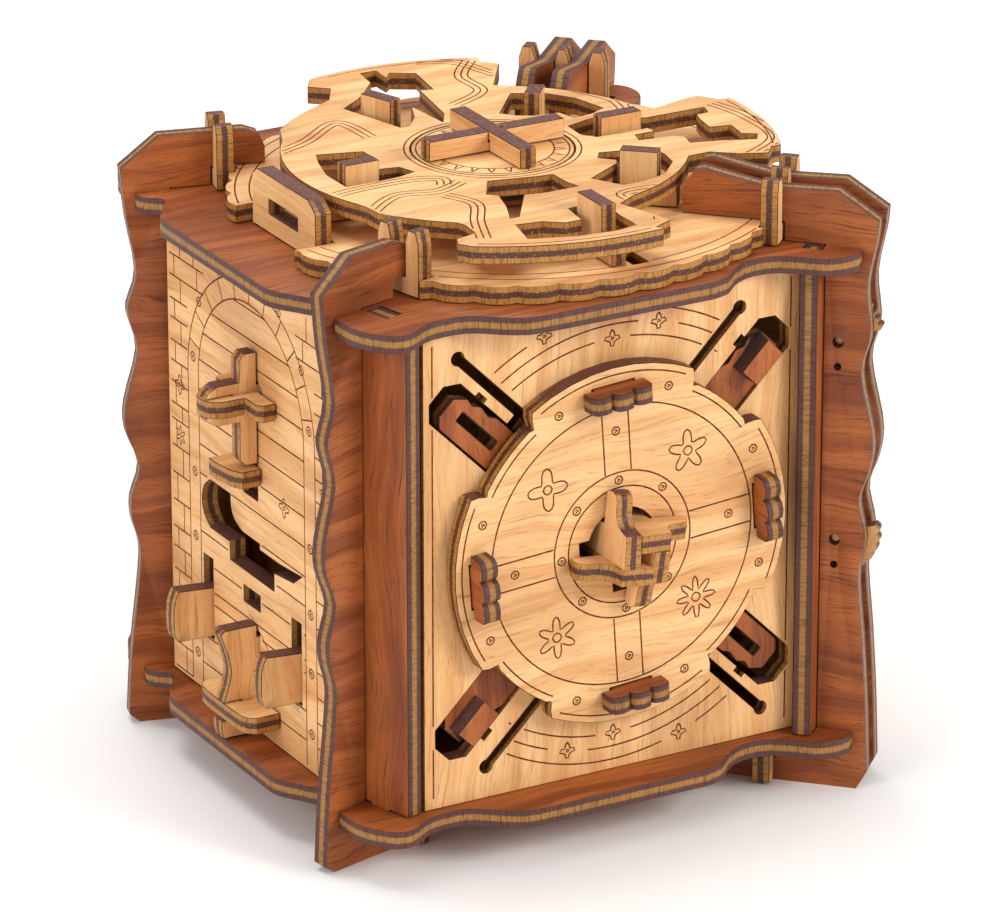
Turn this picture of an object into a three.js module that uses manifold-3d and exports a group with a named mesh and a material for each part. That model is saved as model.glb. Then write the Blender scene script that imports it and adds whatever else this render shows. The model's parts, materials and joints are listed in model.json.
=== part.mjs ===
// Wooden puzzle box: a plywood casket with a dial on its front, a castle door on its left side and a
// maze wheel on its lid. Twin and single fins stand at the corners and hook over both trim plates,
// and comb-shaped locks hold the hooks down. Millimetres, +Z up, front towards -Y, door towards -X,
// origin at the middle of the footprint, on the surface that the fins stand on.
import * as THREE from 'three';
import { mergeVertices } from 'three/addons/utils/BufferGeometryUtils.js';
import Module from 'manifold-3d';

const wasm = await Module();
wasm.setup();

// ---- driving dimensions ----------------------------------------------------------------------
const PLY = 4;                  // thickness of every board
const GAP = 0.3;                // clearance between boards that rest on each other
const LOOSE = 0.5;              // clearance round a piece that slides or turns

const FOOT = 10;                // the fins' feet lift the lower trim plate by this much
const FLOOR = FOOT + PLY;       // top of the lower trim plate
const WALL = 110.5;             // height of the walls between the two trim plates
const CEILING = FLOOR + WALL;   // underside of the upper trim plate
const LID = CEILING + PLY;      // top of the upper trim plate
const DISC_TOP = LID + GAP + PLY;
const WHEEL = DISC_TOP + GAP + PLY + LOOSE;   // underside of the maze wheel, above its washer
const FIN_TOP = 141;

const FRONT = -57.6;            // outer face of the dial wall
const REAR = 57.6;
const LEFT = -58.6;             // outer face of the door wall
const RIGHT = 58.6;
const WALL_HALF = 46.7;         // half width of the front, rear and right walls
const DOOR_HALF = 40;           // half width of the door wall, which sits between two fins

const DIAL_HEIGHT = FLOOR + WALL / 2;
const DIAL_RADIUS = 41.5;
const DIAL_WAIST = 38.4;        // radius of the dial between its four lobes
const DISC_RADIUS = 65;
const LID_X = 1.4;              // the lid disc and the wheel stand a little off the box's middle
const LID_Y = -1.6;
const WHEEL_RADIUS = 63.7;
const HUB_RADIUS = 18;
const AXLE_WELL = 6;               // radius of the holes that the wheel's axle passes through
const FAN_RADIUS = 9.3;

// ---- materials -------------------------------------------------------------------------------
const birch = new THREE.MeshStandardMaterial({ color: '#d9ab72', roughness: 0.62, metalness: 0 });
const mahogany = new THREE.MeshStandardMaterial({ color: '#8a4526', roughness: 0.58, metalness: 0 });

// ---- solids ----------------------------------------------------------------------------------
function toSolid(geometry) {
  const bare = geometry.clone();
  bare.deleteAttribute('normal');
  bare.deleteAttribute('uv');
  const merged = mergeVertices(bare, 1e-4);
  return new wasm.Manifold(new wasm.Mesh({
    numProp: 3,
    vertProperties: new Float32Array(merged.attributes.position.array),
    triVerts: new Uint32Array(merged.index.array),
  }));
}

function toGeometry(solid) {
  const mesh = solid.getMesh();
  const geometry = new THREE.BufferGeometry();
  geometry.setAttribute('position', new THREE.BufferAttribute(new Float32Array(mesh.vertProperties), 3));
  geometry.setIndex(new THREE.BufferAttribute(new Uint32Array(mesh.triVerts), 1));
  geometry.computeVertexNormals();
  return geometry;
}

// A body with other bodies cut away or joined on.
function carve(geometry, cutters) {
  return toGeometry(cutters.reduce((solid, cutter) => solid.subtract(toSolid(cutter)), toSolid(geometry)));
}

function join(geometry, others) {
  return toGeometry(others.reduce((solid, other) => solid.add(toSolid(other)), toSolid(geometry)));
}

function block(x0, x1, y0, y1, z0, z1) {
  const geometry = new THREE.BoxGeometry(x1 - x0, y1 - y0, z1 - z0);
  return geometry.translate((x0 + x1) / 2, (y0 + y1) / 2, (z0 + z1) / 2);
}

function rod(radius, length, sides = 24) {
  return new THREE.CylinderGeometry(radius, radius, length, sides);
}

// ---- outlines --------------------------------------------------------------------------------
// An outline is a list of points, in millimetres in the board's own plane.
function rectangle(x0, x1, y0, y1) {
  return [[x0, y0], [x1, y0], [x1, y1], [x0, y1]];
}

function circle(x, y, radius, sides = 32) {
  return Array.from({ length: sides }, (_, k) => {
    const a = (2 * Math.PI * k) / sides;
    return [x + radius * Math.cos(a), y + radius * Math.sin(a)];
  });
}

// The points of a slot with round ends between two points.
function roundSlot(x0, y0, x1, y1, width, steps = 6) {
  const along = Math.atan2(y1 - y0, x1 - x0);
  const end = (x, y, from) => Array.from({ length: steps + 1 }, (_, k) => {
    const a = from + (Math.PI * k) / steps;
    return [x + (width / 2) * Math.cos(a), y + (width / 2) * Math.sin(a)];
  });
  return [...end(x1, y1, along - Math.PI / 2), ...end(x0, y0, along + Math.PI / 2)];
}

// Points along the smooth curve that passes through the given ones.
function smooth(points, steps) {
  const curve = new THREE.SplineCurve(points.map(([x, y]) => new THREE.Vector2(x, y)));
  return curve.getPoints(steps).map((point) => [point.x, point.y]);
}

function polar(radius, degrees) {
  const a = THREE.MathUtils.degToRad(degrees);
  return [radius * Math.cos(a), radius * Math.sin(a)];
}

function turned(points, degrees, x = 0, y = 0) {
  const c = Math.cos(THREE.MathUtils.degToRad(degrees));
  const s = Math.sin(THREE.MathUtils.degToRad(degrees));
  return points.map(([u, v]) => [x + c * u - s * v, y + s * u + c * v]);
}

// ---- boards: a flat outline with its holes, cut from one sheet of ply --------------------------
function sheet(points, thick = PLY) {
  const shape = new THREE.Shape(points.map(([x, y]) => new THREE.Vector2(x, y)));
  return new THREE.ExtrudeGeometry(shape, { depth: thick, bevelEnabled: false });
}

function lying(points, holes = [], thick = PLY) {
  const board = sheet(points, thick);
  if (holes.length === 0) return board;
  return carve(board, holes.map((hole) => sheet(hole, thick + 2).translate(0, 0, -1)));
}

// A board standing with its outline's two axes along `across` and `up`, and its thickness centred.
function standing(points, holes, across, up, thick = PLY) {
  const x = new THREE.Vector3(...across);
  const y = new THREE.Vector3(...up);
  const basis = new THREE.Matrix4().makeBasis(x, y, x.clone().cross(y));
  return lying(points, holes, thick).translate(0, 0, -thick / 2).applyMatrix4(basis);
}

function facingFront(points, holes = [], thick = PLY) {
  return standing(points, holes, [1, 0, 0], [0, 0, 1], thick);
}

function facingSide(points, holes = [], thick = PLY) {
  return standing(points, holes, [0, 1, 0], [0, 0, 1], thick);
}

function piece(parent, name, geometry, material, x = 0, y = 0, z = 0) {
  const mesh = new THREE.Mesh(geometry, material);
  mesh.name = name;
  mesh.position.set(x, y, z);
  parent.add(mesh);
  return mesh;
}

const box = new THREE.Group();

// ---- corners -----------------------------------------------------------------------------------
// Each corner has its own group, with x pointing out of the box along the fins and y across them.
// `side` is +1 where +y of the group looks towards the front or rear wall, -1 where -y does.
const DIAGONAL = 76.8 * Math.SQRT1_2;
const SINGLE = { fins: [0], edge: 'slim', lock: -9.5 };
const TWIN = { fins: [-4, 4], edge: 'full', lock: -9.5, reach: -29.4 };
const CORNERS = [
  { ...SINGLE, name: 'front_left', x: -53.6, y: -43.6, out: 195, side: 1, reach: -12.6, lock: -12.3 },
  { ...SINGLE, name: 'rear_left', x: -53.6, y: 43.6, out: 165, side: -1, reach: -19.4 },
  { ...TWIN, name: 'front_right', x: DIAGONAL, y: -DIAGONAL, out: -45, side: -1, fans: true },
  { ...TWIN, name: 'rear_right', x: DIAGONAL, y: DIAGONAL, out: 45, side: 1 },
];
const POST_HALF = PLY / 2;
const HOOK_STEP = -6.9;          // inward of this the hook is raised to clear the lock and the disc
const PRONG = 4;
const FAN_PIVOT = 5.4;           // the fans' pins stand this far outward of the post
const FAN_PIN = 1;
const FAN_HEIGHTS = [106.2, 59.6];
const FAN_STOPS = [100.5, 53.7]; // small holes for the pegs that stop the fans
const STOP_HOLE = 0.9;

// Outer edges of the fins, from the foot up: a straight flare, then bulges and waists.
const FIN_EDGES = {
  slim: [[13.9, 2], [12.9, 17.7], [10.9, 35], [10.5, 43], [12.2, 49.5], [12.3, 55], [10.3, 62.5], [13.2, 71],
    [13.2, 78], [10.2, 90], [11.9, 97.7], [12.2, 101.4], [10.1, 109], [12.2, 122], [13.4, 134]],
  full: [[13.7, 4], [13.1, 19.4], [12.1, 35], [10.8, 51], [12.2, 60], [10.6, 69], [12.7, 76], [13.5, 84],
    [10.6, 99], [12.5, 108.3], [11.6, 119.4], [13.5, 130.3], [13.9, 135]],
};

function finOutline({ reach, edge, fins }) {
  const inner = POST_HALF + GAP;
  const tip = fins.length === 2
    ? [[-9.3, FIN_TOP - 0.4], [-11.5, FIN_TOP - 0.4], [-25.6, FIN_TOP + 2.4], [-27.2, FIN_TOP + 2],
      [reach, FIN_TOP - 1], [reach - 0.6, FIN_TOP - 3.6]]
    : [[reach + 4.5, FIN_TOP], [reach + 1.3, FIN_TOP - 1.2], [reach, FIN_TOP - 4.2]];
  return [
    [reach + 2, 0], [11.5, 0], ...smooth(FIN_EDGES[edge], 42),
    [4.6, FIN_TOP], ...tip,
    [tip[tip.length - 1][0], DISC_TOP + GAP], [HOOK_STEP, DISC_TOP + GAP], [HOOK_STEP, LID + GAP],
    [inner, LID + GAP], [inner, FOOT - GAP], [HOOK_STEP, FOOT - GAP], [HOOK_STEP, FOOT - 2 * GAP - PLY],
    [reach, FOOT - 2 * GAP - PLY], [reach, 2],
  ];
}

// A comb: a bar with prongs that stand either side of each fin, with nibbed round heads.
function combOutline(fins, up) {
  const lane = PLY / 2 + GAP;
  const prongs = fins.length === 1
    ? [[-lane - PRONG, -lane], [lane, lane + PRONG]]
    : [[fins[0] - lane - PRONG, fins[0] - lane], [fins[0] + lane, fins[1] - lane],
      [fins[1] + lane, fins[1] + lane + PRONG]];
  const high = up ? 14.6 : 9.2;
  const head = up ? 1.4 : 0.8;
  const points = [];
  for (const [a, b] of [...prongs].reverse()) {
    const nib = head * 0.6;
    points.push([b, PLY], [b, high - head * 2], [b - nib * 0.5, high - head], [b - nib, high]);
    points.push([a + nib, high], [a + nib * 0.5, high - head], [a, high - head * 2], [a, PLY]);
  }
  return [[prongs[0][0], 0], [prongs[prongs.length - 1][1], 0], ...points];
}

function postOutline(corner) {
  const single = corner.fins.length === 1;
  const low = single ? -2.2 : -12;
  const high = single ? 15.4 : 12;
  const tenons = single ? [[3.4, 9.6]] : [[-8.8, -6.4], [6.4, 8.8]];
  const bottom = [];
  const top = [];
  for (const [a, b] of tenons) {
    bottom.push([a, FLOOR + GAP], [a, FOOT + GAP], [b, FOOT + GAP], [b, FLOOR + GAP]);
  }
  for (const [a, b] of [...tenons].reverse()) {
    top.push([b, CEILING - GAP], [b, LID - GAP], [a, LID - GAP], [a, CEILING - GAP]);
  }
  const points = [[low, FLOOR + GAP], ...bottom, [high, FLOOR + GAP], [high, CEILING - GAP], ...top,
    [low, CEILING - GAP]];
  return corner.side === 1 ? points : points.map(([u, v]) => [-u, v]).reverse();
}

for (const corner of CORNERS) {
  const group = new THREE.Group();
  group.position.set(corner.x, corner.y, 0);
  group.rotation.z = THREE.MathUtils.degToRad(corner.out);
  box.add(group);
  corner.fins.forEach((across, k) => {
    const name = corner.fins.length === 1 ? `fin_${corner.name}` : `fin_${corner.name}_${k + 1}`;
    const pinHoles = corner.fans ? FAN_HEIGHTS.map((z) => circle(FAN_PIVOT, z, FAN_PIN + GAP, 16)) : [];
    const stopHoles = corner.fans ? FAN_STOPS.map((z) => circle(FAN_PIVOT, z, STOP_HOLE, 12)) : [];
    piece(group, name, facingFront(finOutline(corner), [...pinHoles, ...stopHoles]), mahogany, 0, across, 0);
  });
  piece(group, `post_${corner.name}`, facingSide(postOutline(corner)), mahogany);
  const comb = facingSide(combOutline(corner.fins, true));
  piece(group, `lock_top_${corner.name}`, comb, birch, corner.lock, 0, LID + GAP);
  const lower = facingSide(combOutline(corner.fins, false));
  lower.rotateX(Math.PI);
  piece(group, `lock_base_${corner.name}`, lower, birch, corner.lock, 0, FOOT - GAP);
}

// A block in a corner's own directions, used to cut plates around the fins and locks.
function cornerBlock(corner, x0, x1, y0, y1, z0, z1) {
  const shape = block(x0, x1, y0, y1, z0, z1);
  return shape.rotateZ(THREE.MathUtils.degToRad(corner.out)).translate(corner.x, corner.y, 0);
}

// ---- trim plates ---------------------------------------------------------------------------------
// Half the outline, from the middle of the door side round the front to the middle of the right side.
// The front and right edges are the same curve mirrored in the diagonal.
const STRIP = 68.2;
const RIGHT_EAR = [[18.6, -STRIP], [23, -66.8], [27, -63], [31, -60.7], [35, -60.1], [39, -61], [43, -64],
  [46.5, -67.4], [50.6, -68.8], [55, -68.2], [57.2, -66.2]];

function trimOutline() {
  const doorSide = [[-67.2, -24], [-66.2, -27.5], [-61.6, -34.5], [-60.9, -37.4], [-63.6, -39.6],
    [-64.6, -42.4]];
  const leftEar = [[-62.8, -49], [-62.6, -55], [-60.4, -60.2], [-57, -63.8], [-53.4, -64.4], [-50, -62.4],
    [-46, -60.4], [-40, -60.1], [-36, -61.4], [-32, -64.6], [-27, -67.6], [-22, -STRIP]];
  const mirrored = RIGHT_EAR.map(([x, y]) => [-y, -x]).reverse();
  const ears = [...smooth(leftEar, 22), ...smooth(RIGHT_EAR, 20), ...smooth(mirrored, 20)];
  const half = [...smooth(doorSide, 12), ...ears];
  return [...half, ...half.map(([x, y]) => [x, -y]).reverse()];
}

// A trim plate with open notches for the fins, mortises for the posts and a round well in its middle.
function trimPlate(well) {
  const cutters = [];
  for (const corner of CORNERS) {
    for (const across of corner.fins) {
      const half = PLY / 2 + GAP;
      cutters.push(cornerBlock(corner, POST_HALF, 30, across - half, across + half, -1, PLY + 1));
    }
    const tenons = corner.fins.length === 1 ? [[3.1, 9.9]] : [[-9.1, -6.1], [6.1, 9.1]];
    for (const [a, b] of tenons) {
      const [y0, y1] = corner.side === 1 ? [a, b] : [-b, -a];
      cutters.push(cornerBlock(corner, -POST_HALF - GAP, POST_HALF + GAP, y0, y1, -1, PLY + 1));
    }
  }
  return carve(lying(trimOutline(), well ? [circle(LID_X, LID_Y, well)] : []), cutters);
}

piece(box, 'trim_base', trimPlate(0), mahogany, 0, 0, FOOT);
piece(box, 'trim_top', trimPlate(AXLE_WELL), mahogany, 0, 0, CEILING);

// Board that closes the box from below and stiffens the lower trim plate.
const baseOutline = rectangle(-52, 52, -29, 29);
piece(box, 'base_board', lying(baseOutline), mahogany, 0, 0, FOOT - GAP - PLY);

// ---- lid disc --------------------------------------------------------------------------------------
// Round light board with a scalloped front rim, cut away for the combs and for the slotted upright.
const SCALLOPS = 44;
const SCALLOP_DEPTH = 1.3;
const DRAWN_IN = 6;             // the rim is drawn in by this much towards the door's rear corner
const DRAWN_TOWARDS = 155;
const UPRIGHT = -48.6;
const NOTCH = { x: UPRIGHT + 2.4 - LID_X, y0: -15.6, y1: 16.2 };   // recess in the disc beside the door

function discOutline() {
  const steps = SCALLOPS * 4;
  const points = [];
  for (let k = 0; k < steps; k += 1) {
    const turn = (2 * Math.PI * k) / steps;
    const bump = Math.abs(Math.sin((SCALLOPS * turn) / 2));
    const towards = Math.max(0, Math.cos(turn - THREE.MathUtils.degToRad(DRAWN_TOWARDS)));
    const r = DISC_RADIUS - DRAWN_IN * towards - SCALLOP_DEPTH * (1 - Math.sqrt(bump));
    points.push([r * Math.cos(turn), r * Math.sin(turn)]);
  }
  return points;
}

function lidDisc() {
  const cutters = [block(-80, NOTCH.x, NOTCH.y0, NOTCH.y1, -1, PLY + 1)];
  for (const corner of CORNERS) {
    const half = corner.fins[corner.fins.length - 1] + PLY / 2 + PRONG + 2 * GAP;
    const room = cornerBlock(corner, corner.lock - PLY / 2 - GAP, 40, -half, half, -1, PLY + 1);
    cutters.push(room.translate(-LID_X, -LID_Y, 0));
  }
  const edge = block(-0.5, 0.5, -DISC_RADIUS + 5, -DISC_RADIUS + 13, -1, PLY + 1).scale(PLY, 1, 1);
  return carve(lying(discOutline(), [circle(0, 0, AXLE_WELL)]), [...cutters, edge.translate(3.5, 1, 0)]);
}

piece(box, 'lid_disc', lidDisc(), birch, LID_X, LID_Y, LID + GAP);

// Upright board with a long window, standing in the recess.
const slotted = [[-14.8, 0], [14.8, 0], [14.8, 11.4], [12.6, 13.2], [-11.4, 13.2], [-14.8, 10.8]];
const slottedBoard = facingSide(slotted, [rectangle(-6.6, 7, 4.4, 7.8)]);
piece(box, 'slotted_upright', slottedBoard, birch, UPRIGHT, LID_Y, LID + GAP);

// ---- walls -----------------------------------------------------------------------------------------
const WALL_Z0 = FLOOR + GAP;
const WALL_Z1 = CEILING - GAP;

// The four bolts lie on the diagonals of the dial wall: each has a broad slot and a thin feeler slot.
// `side` is the flank of the bolt that its wavy edge is on, `shift` moves the bolt off the diagonal, and
// the feeler slot runs at `feeler` beside the diagonal, out to `reach`.
const TABBED = { side: 1, shift: 0, feeler: 11.4, reach: 56, tabbed: true };
const RECESSED = { side: -1, shift: 1.7, feeler: -7.3, reach: 61.5, tabbed: false };
const BOLTS = [
  { ...TABBED, name: 'upper_right', turn: 45 },
  { ...RECESSED, name: 'upper_left', turn: 135 },
  { ...TABBED, name: 'lower_left', turn: 225 },
  { ...RECESSED, name: 'lower_right', turn: 315 },
];
const BOLT_HALF = 5;
const BOLT_INNER = 33;
const BOLT_OUTER = 55.5;
const BOLT_TRAVEL = 4;

function boltSlot() {
  const half = BOLT_HALF + LOOSE;
  const far = BOLT_OUTER + BOLT_TRAVEL + LOOSE;
  const near = BOLT_INNER - LOOSE;
  const nib = half + 1.2;
  return [[near, -half], [far - 3, -half], [far, -half + 3], [far, half - 3], [far - 3, half], [far - 8, half],
    [far - 8, nib], [far - 11, nib], [far - 11, half], [near, half]];
}

const FEELER_INNER = 37.5;

// An outline on the given flank of its bolt, moved off the diagonal by `shift`.
function flanked(points, side, shift) {
  const placed = points.map(([u, v]) => [u, side * v + shift]);
  return side === 1 ? placed : placed.reverse();
}

const plainWall = rectangle(-WALL_HALF, WALL_HALF, WALL_Z0, WALL_Z1);

function dialWall() {
  const holes = BOLTS.flatMap(({ turn, side, shift, feeler, reach }) => {
    const cuts = [
      flanked(boltSlot(), side, shift),
      roundSlot(FEELER_INNER, feeler, reach, feeler, 2.4),
      circle(reach, feeler, 1.7, 16),
    ];
    if (side === -1) cuts.push(rectangle(FEELER_INNER - 1, FEELER_INNER + 3.5, feeler, 0));
    return cuts.map((cut) => turned(cut, turn, 0, DIAL_HEIGHT));
  });
  return facingFront(plainWall, [...holes, circle(0, DIAL_HEIGHT, 10.4)]);
}
piece(box, 'wall_dial', dialWall(), birch, 0, FRONT + PLY / 2, 0);

// Door wall: sickle opening, two tall slots, a window and slots for the handles. Outline is across y, z.
const DOOR = {
  handleY: -2, handleZ: 94.5,
  tabSlots: [[19.4, 23.9], [-23.1, -18.6]],
  tabSlotLow: 28.6, tabSlotHigh: 48,
  pullY: -0.6,
};

function sickle() {
  const blade = smooth([[20.2, 67], [23.2, 64.6], [24.4, 61], [23.2, 57.6], [20.4, 55.5]], 12);
  const back = smooth([[4.4, 60], [8.4, 61.4], [10.2, 64], [10.4, 67]], 6);
  return [...blade, [10.9, 55.5], [10.9, 51.2], [-10.4, 51.2], [-10.4, 55.6], [-19.6, 56.6], [-23.6, 59.4],
    [-13, 58.6], [-3.6, 58.6], [-3.6, 60], ...back];
}

function doorWall() {
  const { handleY, handleZ, pullY } = DOOR;
  const holes = [sickle(), rectangle(-3.6, 4.4, 43.5, 47.5), circle(handleY, handleZ, 4.2, 24)];
  for (const [a, b] of DOOR.tabSlots) holes.push(rectangle(a, b, DOOR.tabSlotLow, DOOR.tabSlotHigh));
  holes.push(rectangle(pullY - 2.5, pullY + 2.5, 24, 38.5));
  holes.push(rectangle(-3.1, 3.9, 70, 79.2));
  return facingSide(rectangle(-DOOR_HALF, DOOR_HALF, WALL_Z0, WALL_Z1), holes);
}
piece(box, 'wall_door', doorWall(), birch, LEFT + PLY / 2, 0, 0);

piece(box, 'wall_right', facingSide(plainWall), birch, RIGHT - PLY / 2, 0, 0);

// Rear wall with the mouth of the drawer.
const DRAWER = { half: 32, low: FLOOR + 4, high: FLOOR + 42, length: 84, wall: 3 };
const drawerMouth = rectangle(-DRAWER.half, DRAWER.half, DRAWER.low, DRAWER.high);
piece(box, 'wall_rear', facingFront(plainWall, [drawerMouth]), birch, 0, REAR - PLY / 2, 0);

// ---- dial --------------------------------------------------------------------------------------------
const DIAL_BACK = FRONT - GAP;
const DIAL_FACE = DIAL_BACK - PLY;
const GRIP_PLACE = 35.5;
const DIAL_TURN = -4;           // the dial rests a little off its upright place
const KNOB_TURN = 6;

// Round board with four broad lobes, separated by shallow waists on the diagonals.
function dialOutline() {
  const points = [];
  const lobe = 29;
  for (let quarter = 0; quarter < 360; quarter += 90) {
    for (let a = -lobe; a <= lobe; a += 7.25) points.push([DIAL_RADIUS, quarter + a]);
    const next = quarter + 90 - lobe;
    points.push([DIAL_RADIUS - 1.6, quarter + lobe + 1.6], [DIAL_WAIST - 0.6, quarter + lobe + 2.6]);
    for (let a = lobe + 4.5; a <= 90 - lobe - 4.4; a += 4.6) points.push([DIAL_WAIST, quarter + a]);
    points.push([DIAL_WAIST - 0.6, next - 2.6], [DIAL_RADIUS - 1.6, next - 1.6]);
  }
  return points.map(([radius, degrees]) => polar(radius, degrees));
}

const dial = new THREE.Group();
dial.position.set(0, (DIAL_BACK + DIAL_FACE) / 2, DIAL_HEIGHT);
dial.rotation.y = THREE.MathUtils.degToRad(DIAL_TURN);
box.add(dial);

function keyHole(radius, arm, half) {
  const points = [];
  for (let quarter = 0; quarter < 360; quarter += 90) {
    const step = THREE.MathUtils.radToDeg(Math.asin(half / radius));
    points.push(...turned([[arm, -half], [arm, half]], quarter));
    for (let a = step; a <= 90 - step + 0.01; a += (90 - 2 * step) / 5) {
      points.push(...turned([[radius, 0]], quarter + a));
    }
  }
  return points;
}

const gripSlot = rectangle(GRIP_PLACE - 2.3, GRIP_PLACE + 2.3, -5.3, 5.3);
const dialHoles = [keyHole(8.6, 10.6, 2.9), ...[0, 90, 180, 270].map((turn) => turned(gripSlot, turn))];
piece(dial, 'dial_disc', facingFront(dialOutline(), dialHoles), birch);

// Grip: a tongue through the dial with a three-lobed front edge. Outline across z (width) and -y (height).
function gripOutline() {
  const points = [[-5, -PLY / 2], [5, -PLY / 2], [5, PLY / 2 + GAP], [7.6, PLY / 2 + GAP]];
  for (let lobe = 0; lobe < 3; lobe += 1) {
    const centre = 5 - 5 * lobe;
    for (let k = 0; k <= 4; k += 1) {
      const a = (Math.PI * k) / 4;
      points.push([centre + 2.45 * Math.cos(a), PLY / 2 + 3 + (lobe === 1 ? 1.4 : 0.8) + 1.5 * Math.sin(a)]);
    }
  }
  points.push([-7.6, PLY / 2 + GAP], [-5, PLY / 2 + GAP]);
  return points;
}

for (const [k, place] of ['right', 'bottom', 'left', 'top'].entries()) {
  const holder = new THREE.Group();
  holder.rotation.y = (Math.PI / 2) * k;
  dial.add(holder);
  const grip = standing(gripOutline(), [], [0, 0, 1], [0, -1, 0]);
  piece(holder, `grip_${place}`, grip, mahogany, GRIP_PLACE, 0, 0);
}

// ---- knob in the dial --------------------------------------------------------------------------------
// Four boards set pinwheel fashion round a square tube, glued into one hub that turns in the dial wall.
const KNOB_ARM = 13.2;
const KNOB_BORE = 1.7;
const KNOB_HIGH = 11;

function knobBoard() {
  const lean = KNOB_BORE + PLY;
  return [[-lean, -12], [lean, -12], [lean, 0.8], [KNOB_ARM, 0.8], [KNOB_ARM + 0.4, 3.4],
    [KNOB_ARM - 0.8, 4.8], [8.6, 5.4], [6.4, 7.2], [lean, KNOB_HIGH - 0.6], [-KNOB_BORE, KNOB_HIGH], [-lean, KNOB_HIGH]];
}

const vanes = [0, 90, 180, 270].map((turn) => {
  const vane = standing(knobBoard(), [], [1, 0, 0], [0, -1, 0]).translate(0, 0, KNOB_BORE + PLY / 2);
  return vane.rotateY(THREE.MathUtils.degToRad(turn));
});
const knob = piece(box, 'knob', join(vanes[0], vanes.slice(1)), birch, 0, DIAL_FACE, DIAL_HEIGHT);
knob.rotation.y = THREE.MathUtils.degToRad(KNOB_TURN);

// Flanged sleeve: it passes through the wall into the dial's back, and its flange keeps the dial on.
const SLEEVE_BORE = 8.4;
const SLEEVE_LONG = PLY + GAP;
const flange = facingFront(circle(0, 0, 17), [circle(0, 0, SLEEVE_BORE)]);
const sleeve = facingFront(circle(0, 0, 10), [circle(0, 0, SLEEVE_BORE)], SLEEVE_LONG + 1);
piece(box, 'dial_retainer', join(flange, [sleeve.translate(0, -(PLY + SLEEVE_LONG) / 2 + 0.5, 0)]), birch,
  0, FRONT + PLY + GAP + PLY / 2, DIAL_HEIGHT);

// ---- bolts ---------------------------------------------------------------------------------------------
// Bars in the diagonal slots. Two carry a proud tab, the other two a long recess.
const BOLT_BACK = FRONT + 0.6 + PLY;
for (const { name, turn, side, shift, tabbed } of BOLTS) {
  const holder = new THREE.Group();
  holder.position.set(0, 0, DIAL_HEIGHT);
  holder.rotation.y = -THREE.MathUtils.degToRad(turn);
  box.add(holder);
  const wavy = [[BOLT_OUTER, BOLT_HALF - 3], [BOLT_OUTER - 3, BOLT_HALF - 1], [BOLT_OUTER - 5, BOLT_HALF - 1.6],
    [BOLT_OUTER - 7, BOLT_HALF - 0.4], [BOLT_OUTER - 10, BOLT_HALF - 1], [BOLT_OUTER - 12, BOLT_HALF]];
  const bar = [[BOLT_INNER, -BOLT_HALF], [BOLT_OUTER - 2, -BOLT_HALF], [BOLT_OUTER, -BOLT_HALF + 2], ...wavy,
    [BOLT_INNER, BOLT_HALF]];
  const recess = rectangle(BOLT_OUTER - 16, BOLT_OUTER - 4, -1.2, 1.2);
  const flat = facingFront(flanked(bar, side, shift), tabbed ? [] : [flanked(recess, side, shift)]);
  const tab = block(BOLT_OUTER - 10, BOLT_OUTER - 1, -6.4, 0, -2.6, 2.6);
  piece(holder, `bolt_${name}`, tabbed ? join(flat, [tab]) : flat, mahogany, 0, BOLT_BACK - PLY / 2, 0);
}

// ---- handles on the door ---------------------------------------------------------------------------------
// Outlines run outward from the door's face (first value) and along y or z (second value).
const OUT = [-1, 0, 0];
const UP = [0, 0, 1];
const ALONG = [0, 1, 0];
const LAP = PLY / 2 + 0.2;

function crossProfile(low, high) {
  const nose = smooth([[10, -4.6], [12.6, -3], [13.4, 0], [12.6, 3], [10, 4.6]], 10);
  return [[LOOSE, low], [3.4, low], [4.6, low + 1.4], [4.6, -4.6], ...nose, [4.6, 4.6], [4.6, high - 1.4],
    [3.4, high], [LOOSE, high]];
}

const handle = new THREE.Group();
handle.position.set(LEFT, DOOR.handleY, DOOR.handleZ);
box.add(handle);
const stem = [[LOOSE, 3.5], [-8, 3.5], [-8, -3.5], [LOOSE, -3.5]];
const uprightLap = rectangle(6.4, 20, -LAP, LAP);
const upright = carve(standing([...crossProfile(-15, 11), ...stem], [], OUT, UP),
  [standing(uprightLap, [], OUT, UP, PLY + 2)]);
piece(handle, 'handle_upright', upright, birch);
const wing = carve(standing(crossProfile(-11, 11), [], OUT, ALONG),
  [standing(rectangle(-1, 6.7, -LAP, LAP), [], OUT, ALONG, PLY + 2)]);
piece(handle, 'handle_wing', wing, birch);

// Shelf below the handle, on a stem that slides down its slot.
const SHELF_HEIGHT = 76.6;
const shelf = [[LOOSE, -6], [5, -6], [6.6, -3], [7.4, 3], [7.2, 6], [LOOSE, 6], [LOOSE, 3], [-8, 3], [-8, -3],
  [LOOSE, -3]];
piece(box, 'latch_shelf', standing(shelf, [], OUT, ALONG), birch, LEFT, 0.4, SHELF_HEIGHT);

// Two rounded tabs that lift in the tall slots.
for (const [k, name] of ['rear', 'front'].entries()) {
  const [a, b] = DOOR.tabSlots[k];
  const nose = smooth([[8.6, 0.4], [9.8, 2.6], [9.8, 9], [8.6, 12.6]], 9);
  const tab = [[-PLY - LOOSE, 0], ...nose, [LOOSE, 12], [-PLY - LOOSE, 12], [-PLY - LOOSE, 14.4],
    [-PLY - 4, 14.4], [-PLY - 4, -2.4], [-PLY - LOOSE, -2.4]];
  const tabBoard = standing(tab, [], OUT, UP);
  piece(box, `lift_tab_${name}`, tabBoard, birch, LEFT, (a + b) / 2, DOOR.tabSlotLow + LOOSE);
}

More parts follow.
